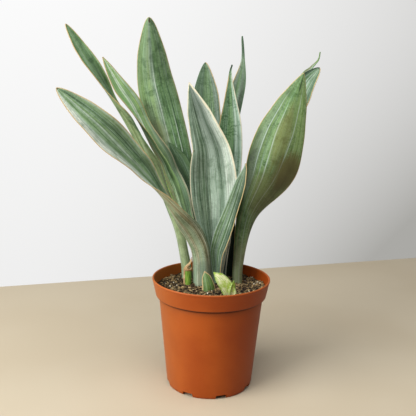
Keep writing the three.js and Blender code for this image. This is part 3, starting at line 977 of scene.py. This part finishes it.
leaves["leaf_back_centre"] = {
    "spine": [
        [6, 48, 128], [-1, 55, 189], [-5, 56, 257], [-9, 53, 323], [-12, 48, 375],
        [-13, 46, 409],
    ],
    "widths": [18, 20, 26, 32, 36, 38, 38, 34, 32],
    "facings": [-90, -90, -90],
    "cups": [180, 90, 50, 30],
    "folds": [0, 10, 10],
    "tip": 0.65,
    "wave": (1, 4),
    "inner": [
        (-1, "mid"), (-0.6, "mid"), (-0.3, "mid"), (0, "green"), (0.25, "green"), (0.55, "green"),
        (0.72, "grey"), (1, "mid"),
    ],
    "innerLines": [(-0.35, 0.03, "dark"), (0.12, 0.03, "mid"), (0.4, 0.03, "dark")],
    "innerGain": (1.12, 1.04, 1.18),
    "outer": plainBack,
    "outerLines": [(0, 0.04, "grey")],
    "patches": [(2, 0, 2, 1.0, 0.006, "bark", 0.8)],
    "margins": ("mid", "tan"),
    "banding": 0.45,
}
leaves["leaf_back_right"] = {
    "spine": [
        [13, 36, 128], [12, 40, 178], [14, 44, 232], [19, 46, 285], [20, 48, 337], [19, 51, 393],
        [21, 52, 407],
    ],
    "widths": [16, 18, 27, 32, 35, 36, 30, 14, 2],
    "facings": [-80, -80, -80],
    "cups": [180, 90, 50, 30],
    "folds": [0, 10, 10],
    "tip": 0.3,
    "wave": (0.8, 4),
    "inner": [
        (-1, "green"), (-0.5, "mid"), (0, "green"), (0.28, "green"), (0.48, "silver"),
        (0.66, "grey"), (0.85, "silver"), (1, "pale"),
    ],
    "innerLines": [
        (0.55, 0.03, "pale"), (0.75, 0.03, "mid"), (-0.3, 0.04, "dark"), (0.36, 0.03, "dark"),
    ],
    "innerGain": (1.25, 1.3, 1.25),
    "outer": plainBack,
    "outerLines": [(0, 0.04, "grey")],
    "patches": [(2, 0, 2, 1.0, 0.03, "deep", 0.9), (0, 0.1, 0.6, 0.6, 0.06, "dark", 0.5)],
    "gains": [(0, 0, 2.5, 0.1, 0.4, 0.1)],
    "margins": ("tan", "cream"),
    "marginStop": (0.97, 0.93),
    "banding": 0.7,
}
leaves["leaf_twisted_tail"] = {
    "spine": [
        [23, 46, 128], [22, 58, 188], [14, 67, 243], [14, 68, 296], [20, 70, 334], [33, 73, 392],
        [36, 74, 418], [34, 72, 445],
    ],
    "widths": [14, 20, 23, 23, 23, 26, 26, 25, 24, 22, 17, 5, 4],
    "facings": [-90, -90, -80],
    "cups": [180, 90, 50, 40],
    "folds": [0, 10, 10],
    "tip": 0.3,
    "wave": (0.8, 4),
    "inner": [
        (-1, "silver"), (-0.5, "grey"), (-0.1, "green"), (0.3, "grey"), (0.5, "sage"), (1, "mid"),
    ],
    "innerLines": [(-0.6, 0.05, "silver"), (0.1, 0.04, "mid")],
    "innerGain": (1.3, 1.25, 1.25),
    "outer": plainBack,
    "outerLines": [(0, 0.04, "grey")],
    "patches": [
        (0, -0.2, 0.5, 0.68, 0.12, "deep", 0.7), (2, 0, 2, 0.97, 0.05, "dark", 0.8),
    ],
    "gains": [(0, 0.7, 0.5, 0.75, 0.12, 0.5), (0, 0, 2.5, 0.12, 0.25, 0.15)],
    "margins": ("tan", "mid"),
    "marginStop": (0.92, 0.86),
    "banding": 0.5,
}
leaves["leaf_far_right"] = {
    "spine": [
        [32, 42, 128], [38, 54, 186], [73, 64, 286], [110, 62, 384], [124, 59, 405],
        [133, 60, 416], [135, 61, 426],
    ],
    "widths": [14, 18, 22, 26, 28, 26, 20, 10, 2],
    "facings": [-30, -60, -110, -150],
    "cups": [180, 90, 60, 60],
    "folds": [0, 10, 10],
    "tip": 0.3,
    "wave": (0.8, 4),
    "inner": [(-1, "green"), (0, "silver"), (1, "green")],
    "innerLines": [(0, 0.05, "pale")],
    "outer": [(-1, "mid"), (0, "green"), (1, "mid")],
    "outerLines": [(0, 0.04, "pale")],
    "patches": [(2, 0, 2, 0.99, 0.05, "moss", 0.9), (2, -0.6, 0.8, 0.93, 0.05, "olive", 0.6)],
    "margins": ("moss", "tan"),
    "marginStop": (0.94, 0.88),
    "banding": 0.4,
}
leaves["leaf_right_back"] = {
    "spine": [
        [37, 30, 128], [41, 34, 177], [57, 40, 240], [78, 43, 295], [105, 43, 362],
        [116, 42, 385], [132, 42, 405],
    ],
    "widths": [14, 18, 24, 30, 36, 38, 38, 36, 34],
    "facings": [-130, -130, -120],
    "cups": [180, 90, 60, 40],
    "folds": [0, 10, 10],
    "tip": 0.6,
    "wave": (0.8, 4),
    "inner": [
        (-1, "dark"), (-0.7, "mid"), (-0.3, "green"), (0, "mid"), (0.3, "green"), (0.7, "mid"),
        (1, "green"),
    ],
    "innerLines": [
        (-0.15, 0.05, "pale"), (0.15, 0.05, "pale"), (0.5, 0.05, "pale"), (-0.5, 0.05, "silver"),
        (0.8, 0.04, "dark"),
    ],
    "outer": [(-1, "mid"), (0, "blue"), (1, "mid")],
    "outerLines": [(0, 0.04, "silver")],
    "innerGain": (0.65, 0.72, 0.66),
    "patches": [(2, 0, 2, 1.0, 0.008, "deep", 0.8), (0, -0.9, 0.3, 0.95, 0.1, "deep", 0.8)],
    "margins": ("deep", "tan"),
    "banding": 0.5,
}


def leafSurface(leaf):
    # A channelled section carried along the spine. Across the blade, v runs from -1 to 1; its
    # middle sheet turns by fold + cup |v| from the facing's plane, so it is an arc on each side
    # of the midline, and the margins ripple by wave sin(pi u) sin(2 pi waves u + side) v v. The
    # faces lie half the thickness to either side of that sheet, and half circles join them.
    shape = {**leafShape, **leaf.get("shape", {})}
    tipTaper = shape["tipTaper"]
    flat = np.linspace(0, 1 - tipTaper, shape["rows"] + 1)[:-1]
    u = np.concatenate([flat, 1 - tipTaper * np.linspace(1, 0, shape["tipRows"] + 1) ** 2])
    x, y, _ = leaf["spine"][0]
    curve, way, gone = curveThrough([[x, y, shape["footLevel"]], *leaf["spine"]])
    length = gone[-1]
    middle, tangent = (
        np.stack([np.interp(u * length, gone, line[:, axis]) for axis in range(3)], -1)
        for line in (curve, way)
    )
    tangent /= np.linalg.norm(tangent, axis=1, keepdims=True)
    facing = np.radians(along(leaf["facings"], u))
    normal = np.stack([np.cos(facing), np.sin(facing), 0 * facing], -1)
    normal -= tangent * np.sum(normal * tangent, axis=1, keepdims=True)
    normal /= np.linalg.norm(normal, axis=1, keepdims=True)
    across = np.cross(tangent, normal)
    # the tip narrows over the last part of the length, softly where that part begins
    toTip = (1 - u) / tipTaper
    taper = (toTip / (1 + toTip ** 10) ** 0.1) ** leaf["tip"]
    half = np.maximum(shape["tipWidth"], along(leaf["widths"], u) * taper)[:, None] / 2
    cup, fold = (np.radians(along(leaf[key], u))[:, None] / 2 for key in ("cups", "folds"))
    foot = shape["footThickness"]
    core = foot + np.minimum(1, 2.5 * u) * (shape["bladeThickness"] - foot)
    face = np.linspace(-1, 1, shape["columns"] + 1)
    steps = shape["marginSteps"]
    edge = np.linspace(0, np.pi, steps + 2)[1:-1]
    v = np.concatenate([face, np.ones(steps), face[::-1], -np.ones(steps)])
    lean = np.concatenate([0 * face, edge, 0 * face + np.pi, np.pi + edge])
    side = np.sign(v)
    turn = fold + cup * np.abs(v)
    reach = side * half * (np.sin(turn) - np.sin(fold)) / cup
    rise = half * (np.cos(fold) - np.cos(turn)) / cup
    # where the blade is narrow it is thinner and flutters less
    narrow = np.minimum(1, half / 8)
    wave, waves = leaf["wave"]
    ripple = np.sin(np.pi * u)[:, None] * np.sin(2 * np.pi * waves * u[:, None] + side)
    spots = np.stack([
        np.repeat(u[:, None] * length, len(v), 1), np.broadcast_to(side * 50, ripple.shape),
    ], -1)
    flutter = 0.35 * valueNoise(spots, 9, len(leaf["widths"])) * np.minimum(1, 3 * u)[:, None]
    lift = rise + wave * ripple * v * v + flutter * v ** 4 * narrow
    for hand, share, spread, depth in leaf.get("nicks", []):
        near = np.exp(-((u[:, None] - share) / spread) ** 2)
        reach = reach * (1 - depth * near * np.maximum(0, hand * v) ** 6)
    slope = side * turn
    bulk = (core[:, None] - shape["marginThickness"]) * (1 - v * v) * narrow
    offset = (shape["marginThickness"] + bulk) / 2
    c, s = np.cos(slope)[..., None], np.sin(slope)[..., None]
    sheetWay = c * across[:, None] + s * normal[:, None]
    sheetUp = c * normal[:, None] - s * across[:, None]
    points = middle[:, None] + reach[..., None] * across[:, None]
    points = points + lift[..., None] * normal[:, None]
    outwards = np.cos(lean)[:, None] * sheetUp + np.sin(lean)[:, None] * sheetWay
    points = points + offset[..., None] * outwards
    poles = np.stack([points[0].mean(0), points[-1].mean(0) + 0.3 * tangent[-1]])
    # what the materials read: leafPlace is v, u and 0 on the inner face to 1 on the outer one,
    # leafReach is the mm from the midline, from the foot and from the nearer margin
    outer = np.concatenate([0 * face, edge / np.pi, 0 * face + 1, 1 - edge / np.pi])
    full = np.ones(points.shape[:2])
    place = np.stack([v * full, u[:, None] * full, outer * full], -1)
    reached = np.stack([v * half, u[:, None] * length * full, (1 - np.abs(v)) * half], -1)
    attributes = {
        "leafPlace": np.vstack([place.reshape(-1, 3), [[0, 0, 0.5], [0, 1, 0.5]]]),
        "leafReach": np.vstack([reached.reshape(-1, 3), [[0, 0, 0.5], [0, length, 0.1]]]),
    }
    faces = skinFaces(len(u), len(v))
    return np.vstack([points.reshape(-1, 3), poles]), faces, attributes


def addBlade(name, leaf, material, node):
    points, faces, attributes = leafSurface(leaf)
    addPiece(name, points, faces, material, [node], attributes)


def stripes(stops, lines, gain):
    # a ramp's stops: the broad tones across the blade with narrow lines set into them
    def tone(name):
        return np.clip(np.array(linear(tones[name])) * [*gain, 1], 0, 1)

    def under(v):
        return [np.interp(v, places, colours[:, part]) for part in range(4)]

    places = [place for place, _ in stops]
    colours = np.array([tone(name) for _, name in stops])
    made = [
        (v, tone(name)) for v, name in stops
        if not any(abs(v - line[0]) <= line[1] * 1.5 for line in lines)
    ]
    for v, width, name in lines:
        low, high = v - 1.5 * width, v + 1.5 * width
        made += [(low, under(low)), (v, tone(name)), (high, under(high))]
    placed = [(min(1, max(0, (v + 1) / 2)), tuple(colour)) for v, colour in made]
    return sorted(placed, key=lambda stop: stop[0])


def leafMaterial(name, leaf, seed):
    shade = Shade(name + "Skin")
    v, u, outer = shade.parts(shade.attribute("leafPlace"))
    across, gone, edge = shade.parts(shade.attribute("leafReach"))

    def grain(x, y, offset, detail=3.0, roughness=0.6):
        # noise in the blade's own measures; each offset from the leaf's seed gives another
        return shade.noise(shade.joined(x, y, seed + offset), 1.0, detail, roughness)

    def onFace(mask, face):
        return mask if face == 2 else mask * (outer if face else 1 - outer)

    def distance(spot, width, share, spread):
        # squared, from the middle of an ellipse whose outline is at 1
        return ((v - spot) / width) ** 2.0 + ((u - share) / spread) ** 2.0

    # lanes run along the blade and draw together at its ends, counted in mm where it is widest
    lane = v * (max(leaf["widths"]) / 2)
    drift = grain(v * 1.5, gone * 0.02, 0.0, 2.0, 0.5)
    jitter = grain(lane * 0.9, gone * 0.04, 0.5)
    ramp = (v + (drift - 0.5) * 0.14 + (jitter - 0.5) * 0.1) * 0.5 + 0.5
    faces = []
    for face in ("inner", "outer"):
        lines, gain = leaf.get(face + "Lines", []), leaf.get(face + "Gain", (1, 1, 1))
        stops = stripes(leaf[face], lines, gain)
        faces.append(shade.node("ShaderNodeValToRGB", {"stops": stops}, {0: ramp}))
    colour = shade.mix(outer, *faces)
    # lengthwise streaks, broad and fine, and hairlines that only lighten or darken
    strong = leaf.get("streaks", 0.35)
    fine = grain(lane * 1.25, gone * 0.025, 4.0, 3.0, 0.65)
    streaks = grain(lane * 0.42, gone * 0.011, 2.0, 3.0, 0.65) * 0.5 + fine * 0.5
    colour = shade.mix(shade.step(streaks, 0.5, 0.61) * strong, colour, tones["silver"])
    shadow = shade.step(streaks, 0.5, 0.39) * (strong + 0.25)
    colour = shade.mix(shadow, colour, leafMarks["streak"], "MULTIPLY")
    hairs = grain(lane * 1.8, gone * 0.014, 6.0, 2.0, 0.5)
    colour = shade.scaled(colour, (hairs - 0.5) * (2.4 * strong + 0.6) + 1.02)
    # soft blotches, short marks across the blade in drifting patches, and faint wide bands
    cloud = grain(across * 0.1, gone * 0.07, 11.0, 3.0, 0.55)
    blotch = shade.step(cloud, 0.5, 0.36) * leaf.get("mottle", 0.4)
    colour = shade.mix(blotch, colour, leafMarks["blotch"], "MULTIPLY")
    jag = (jitter - 0.5) * 7.0 + gone
    marks = grain(across * 0.26, jag * 0.6, 9.0, 2.0)
    bands = grain(across * 0.03, jag * 0.09, 7.0)
    mark = shade.step(marks, 0.5, 0.6) * shade.step(bands, 0.4, 0.6) * leaf["banding"]
    colour = shade.mix(mark, colour, leafMarks["band"], "MULTIPLY")
    glint = shade.step(marks, 0.48, 0.36) * leaf["banding"] * 0.25
    colour = shade.mix(glint, colour, tones["silver"])
    for face, first, last, low, high, width, tone, strength in leaf.get("veins", []):
        way = shade.step(u, low, high) * (last - first) + first
        off = abs(v - way + (drift - 0.5) * 0.05)
        ends = shade.step(u, low, low + 0.12) * shade.step(u, high + 0.02, high - 0.1)
        mask = shade.step(off, width, width * 0.3) * ends * (strength * 0.5 + fine * strength)
        colour = shade.mix(onFace(mask, face).limited(), colour, tones[tone])
    for face, *ellipse, tone, strength in leaf["patches"]:
        mask = shade.step(distance(*ellipse) + (jitter - 0.5) * 1.6, 1.2, 0.2) * strength
        colour = shade.mix(onFace(mask, face), colour, tones[tone])
    # painted light and shade: each ellipse makes the colour lighter or darker
    for face, *ellipse, gain in leaf.get("gains", []):
        mask = shade.step(distance(*ellipse) + (drift - 0.5) * 0.6, 1.3, 0.0)
        colour = shade.scaled(colour, onFace(mask, face) * (gain - 1.0) + 1.0)
    # the margins, as ragged as the noise along them
    right = shade.step(v, -0.1, 0.1)
    rim = shade.mix(right, *(tones[tone] for tone in leaf["margins"]))
    wide = leaf.get("marginWidths", (1, 1))
    reach = edge / (right * (wide[1] - wide[0]) + float(wide[0]))
    border = shade.step(reach - grain(gone * 0.13, v, 5.0, 3.0, 0.65) * 1.2, 0.2, -0.3)
    border = border * shade.step(u, *leaf.get("marginStart", (0.06, 0.2)))
    border = border * shade.step(u, *leaf.get("marginStop", (1.02, 1.01)))
    colour = shade.mix(border * 0.85, colour, rim)
    grit = shade.noise(shade.joined(across, gone, seed), 1.3, 3.0, 0.6)
    colour = shade.mix(shade.step(grit, 0.55, 0.35) * 0.25, colour, leafMarks["grit"], "MULTIPLY")
    height = streaks * 0.8 + marks * 0.2 + grit * 0.2
    roughness = leafMarks["roughness"] + streaks * 0.12 + mark * 0.08
    return shade.finish(colour, roughness, height, 0.3, 0.25, Specular_IOR_Level=0.35)


def addLeaves():
    for index, (name, leaf) in enumerate(leaves.items()):
        material = leafMaterial(name, leaf, index * 4.7)
        addBlade(name + "_blade", leaf, material, name)


# cut stub

stub = {
    "foot": (-30, 1),
    "radius": 4.6,
    "top": 150.5,
    "collar": 3,                  # height of the dried collar round the cut
    "wispTop": (-25.5, 0, 165),   # where the wisp ends
    "sides": 48,
    "green": (92, 134, 40),
    "light": (140, 172, 70),
    "dry": (206, 184, 140),
    "brown": (150, 112, 66),
}
# the dried strips are thinner than the leaves
driedShape = {
    "footThickness": 0.9,
    "bladeThickness": 0.8,
    "marginThickness": 0.5,
    "tipWidth": 0.6,
    "rows": 50,
    "columns": 12,
}


def stubMaterial():
    shade = Shade("stubSkin")
    spot = shade.place()
    x, y, z = shade.parts(spot)
    fine = shade.noise(shade.joined(x * 1.5, y * 1.5, z * 0.12), 1.0, 3.0)
    dry = shade.noise(spot, 0.7, 4.0, 0.65)
    colour = shade.mix(shade.step(fine, 0.35, 0.65), stub["green"], stub["light"])
    colour = shade.mix(shade.step(z + dry * 3.0, 135.0, 128.0) * 0.5, colour, stub["light"])
    collar = stub["top"] - stub["collar"]
    cut = shade.step(z + dry * 1.6, collar + 0.4, collar + 1.2)
    dried = shade.mix(shade.step(dry, 0.4, 0.66), stub["brown"], stub["dry"])
    colour = shade.mix(cut, colour, dried)
    return shade.finish(colour, 0.45 + cut * 0.35, fine + dry * cut, 0.4, 0.35)


def driedMaterial():
    shade = Shade("driedSkin")
    u = shade.parts(shade.attribute("leafPlace"))[1]
    across, gone, _ = shade.parts(shade.attribute("leafReach"))
    lines = shade.noise(shade.joined(across * 2.2, gone * 0.1, 4.0), 1.0, 3.0)
    colour = shade.mix(shade.step(lines, 0.4, 0.64), stub["brown"], stub["dry"])
    colour = shade.mix(shade.step(u, 0.8, 1.0) * 0.6, colour, stub["brown"])
    return shade.finish(colour, 0.75, lines, 0.5, 0.4)


def addStub():
    # the stalk: a profile turned about its axis, drawn in under a flared, crumpled collar
    x, y = stub["foot"]
    radius, top = stub["radius"], stub["top"]
    cut, foot = top - stub["collar"], leafShape["footLevel"]
    corners = [
        (0, foot, 0), (radius, foot, 0.5), (radius, 126, 2), (radius * 0.95, cut, 1.5),
        (radius + 0.5, cut + 0.9, 0.8), (radius + 0.3, top, 0.6), (radius - 1.0, top - 0.4, 0.5),
        (0, top - 0.9, 0),
    ]
    points, faces = turned(rounded(corners), stub["sides"])
    angle = np.arctan2(points[:, 1], points[:, 0])
    ragged = np.clip((points[:, 2] - cut) / stub["collar"], 0, 1)
    points[:, 2] += ragged * 0.5 * np.sin(3 * angle + 0.6) + ragged * 0.25 * np.sin(8 * angle)
    points[:, :2] *= 1 + 0.015 * np.sin(5 * angle)[:, None]
    points += [x, y, 0]
    addPiece("stubStalk", points, faces, stubMaterial(), ["cut_stub"])
    # the dried strips: one from the cut up to a point, and one down the stalk's left side
    tipX, tipY, tipZ = stub["wispTop"]
    strips = {
        "stubWisp": {
            "spine": [
                [x - 3.4, y - 2.6, cut - 1], [x - 2, y - 3, cut + 4], [x + 1.6, y - 2.2, cut + 9],
                [tipX - 1, tipY - 1, tipZ - 4], [tipX, tipY, tipZ],
            ],
            "widths": [4.5, 6, 5, 3.5, 2.5, 1.5],
            "facings": [70, 80, 60, 30],
            "cups": [100, 90, 70],
            "folds": [0, 20],
            "tip": 0.9,
            "wave": (0.4, 3),
        },
        "stubHusk": {
            "spine": [[x - 4.2, y - 2.6, 126], [x - 4.9, y - 2.6, 137], [x - 4.3, y - 2, 149]],
            "widths": [3, 3, 2.4, 1.4],
            "facings": [40, 40],
            "cups": [70, 60],
            "folds": [0, 0],
            "tip": 0.9,
            "wave": (0.3, 2),
        },
    }
    skin = driedMaterial()
    for name, strip in strips.items():
        strip["shape"] = {**driedShape, "footLevel": strip["spine"][0][2] - 3}
        addBlade(name, strip, skin, "cut_stub")


# sheath leaf and young shoot

sheath = {
    "spine": [[-3, -24, 128], [-5, -22, 140], [-8.5, -18, 152]],
    "widths": [22, 22, 16, 9],
    "facings": [90, 90],
    "cups": [120, 100, 60],
    "folds": [0, 0],
    "tip": 0.8,
    "wave": (0, 1),
    "shape": {"rows": 60},
    "inner": [(-1, "moss"), (0, "moss"), (1, "moss")],
    "outer": [(-1, "moss"), (-0.4, "moss"), (0, "moss"), (0.5, "green"), (1, "moss")],
    "outerLines": [(0.2, 0.04, "lime"), (-0.3, 0.04, "deep")],
    "outerGain": (0.85, 0.85, 0.55),
    "patches": [(2, 0, 2, 1.0, 0.04, "rust", 0.8), (1, 0.95, 0.25, 0.5, 0.6, "tan", 0.8)],
    "margins": ("tan", "tan"),
    "marginWidths": (1.6, 1.6),
    "banding": 0.2,
}
youngTones = {
    "limeGreen": (184, 210, 92),
    "whitish": (236, 240, 190),
    "leafGreen": (128, 164, 60),
    "base": (214, 216, 160),
}
youngLeaf = {
    "spine": [[22, -36, 128], [18.5, -37, 138], [11, -38, 149], [2.5, -38, 157]],
    "widths": [13, 16, 18, 16, 9],
    "facings": [-70, -70],
    "cups": [110, 80, 50],
    "folds": [0, 20],
    "tip": 0.8,
    "wave": (0.3, 3),
    "shape": {"rows": 60},
}
youngSpike = {
    "spine": [[25, -36, 128], [27, -38, 147]],
    "widths": [9, 8, 5],
    "facings": [-60, -60],
    "cups": [40, 40],
    "folds": [0, 10],
    "tip": 0.8,
    "wave": (0, 1),
    "shape": {"rows": 50},
}


def youngMaterial():
    shade = Shade("youngSkin")
    across, gone, edge = shade.parts(shade.attribute("leafReach"))
    spot = shade.place()
    z = shade.parts(spot)[2]
    cloud = shade.noise(spot, 0.16, 3.0, 0.6)
    lines = shade.noise(shade.joined(across * 0.9, gone * 0.06, 2.0), 1.0, 3.0)
    pale = shade.step(cloud, 0.4, 0.62)
    colour = shade.mix(pale, youngTones["limeGreen"], youngTones["whitish"])
    colour = shade.mix(shade.step(lines, 0.5, 0.66) * 0.6, colour, youngTones["leafGreen"])
    colour = shade.mix(shade.step(z + cloud * 8.0, 140.0, 130.0), colour, youngTones["base"])
    colour = shade.mix(shade.step(edge, 0.9, 0.3) * 0.7, colour, youngTones["leafGreen"])
    return shade.finish(colour, 0.42, lines + cloud * 0.5, 0.3, 0.3)


def addShortGrowth():
    material = leafMaterial("sheathLeaf", sheath, 71.0)
    addBlade("sheathBlade", sheath, material, "sheath_leaf")
    skin = youngMaterial()
    for name, blade in (("youngBlade", youngLeaf), ("youngPoint", youngSpike)):
        addBlade(name, blade, skin, "young_shoot")


# rhizome, kept as the frame has it

rootstock = {"tan": (190, 156, 106), "brown": (122, 88, 52)}


def dressRhizome():
    shade = Shade("rootstock")
    spot = shade.place()
    cloud = shade.noise(spot, 0.25, 4.0, 0.6)
    colour = shade.mix(shade.step(cloud, 0.4, 0.65), rootstock["tan"], rootstock["brown"])
    material = shade.finish(colour, 0.75, cloud, 0.4, 0.4)
    slots = bpy.data.objects["rhizome"].data.materials
    slots.clear()
    slots.append(material)


# floor

floorLook = {
    "pale": (196, 184, 161),
    "deep": (192, 179, 155),
    "backEdge": 483,              # how far behind the pot it ends
    "backTurn": 17.3,             # degrees that the far edge is turned
    "reach": 2600,
}


def floorMaterial():
    shade = Shade("paleFloor")
    spot = shade.place()
    cloud = shade.noise(spot, 0.004, 2.0)
    fine = shade.noise(spot, 0.6, 3.0)
    colour = shade.mix(shade.step(cloud, 0.35, 0.65), floorLook["pale"], floorLook["deep"])
    return shade.finish(colour, 0.6 + fine * 0.08, fine, 0.05, 0.2, Specular_IOR_Level=0.3)


def addFloor():
    reach, back = floorLook["reach"], floorLook["backEdge"]
    slope = math.tan(math.radians(floorLook["backTurn"]))
    corners = [
        [-reach, -reach, 0], [reach, -reach, 0], [reach, back + slope * reach, 0],
        [-reach, back - slope * reach, 0],
    ]
    mesh = newMesh("floor", corners, [[0, 1, 2, 3]])
    mesh.materials.append(floorMaterial())
    floor = linked("floor", mesh)


# the scene, stage by stage

addCamera()
addSky()
for lampName in ("key", "top"):
    addLight(lampName)
addFloor()
print("camera, lights and floor are set")
addPot()
print("pot is made")
addSoil()
addGrains()
print("compost is laid")
addLeaves()
print("leaves are made:", len(leaves))
addStub()
addShortGrowth()
dressRhizome()
print("short growth is made")
